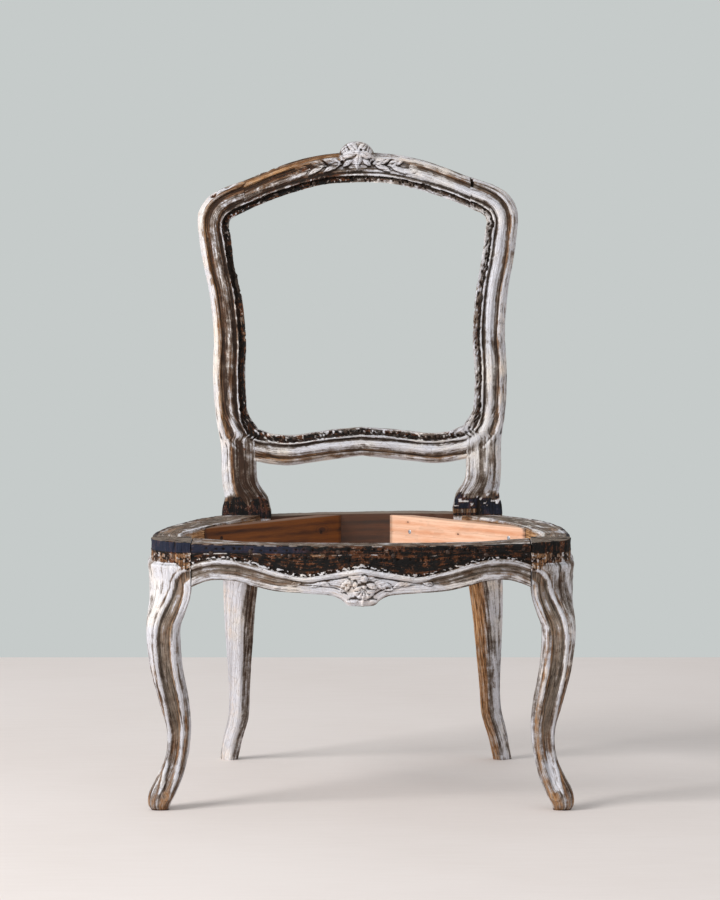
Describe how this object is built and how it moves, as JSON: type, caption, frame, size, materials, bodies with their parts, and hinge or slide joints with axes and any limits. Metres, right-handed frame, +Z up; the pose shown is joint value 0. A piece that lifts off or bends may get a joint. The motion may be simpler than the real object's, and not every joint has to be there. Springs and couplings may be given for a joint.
{
  "type": "side chair frame",
  "caption": "Armless side chair frame with cabriole front legs, a bowed carved front rail and an open curved back, stripped of its upholstery.",
  "frame": {"origin": "on the floor, at the middle of the chair's width and depth", "axes": "+Z up, -Y towards the front of the seat, +X to the right of someone who stands in front of the chair"},
  "size_m": [0.5911, 0.588, 0.905],
  "materials": {
    "painted_wood": "peeling grey-white paint over worn brown wood, with dark stained upholstery bands",
    "stained_wood": "bare wood stained nearly black",
    "old_board": "old bare brown board, dull",
    "pine_board": "newer bare pine board, satin",
    "peg_wood": "end grain, dark and dry",
    "rusty_iron": "rusty iron"
  },
  "bodies": {
    "root": {"front_leg_left": "painted_wood", "front_leg_right": "painted_wood", "rear_post_left": "painted_wood", "rear_post_right": "painted_wood", "front_rail": "painted_wood", "side_rail_left": "painted_wood", "side_rail_right": "painted_wood", "back_rail": "stained_wood", "crest_rail": "painted_wood", "lower_back_rail": "painted_wood", "brace_left": "old_board", "brace_right": "pine_board", "brace_screws": "rusty_iron", "joint_pegs": "peg_wood", "upholstery_tacks": "rusty_iron"}
  },
  "joints": []
}
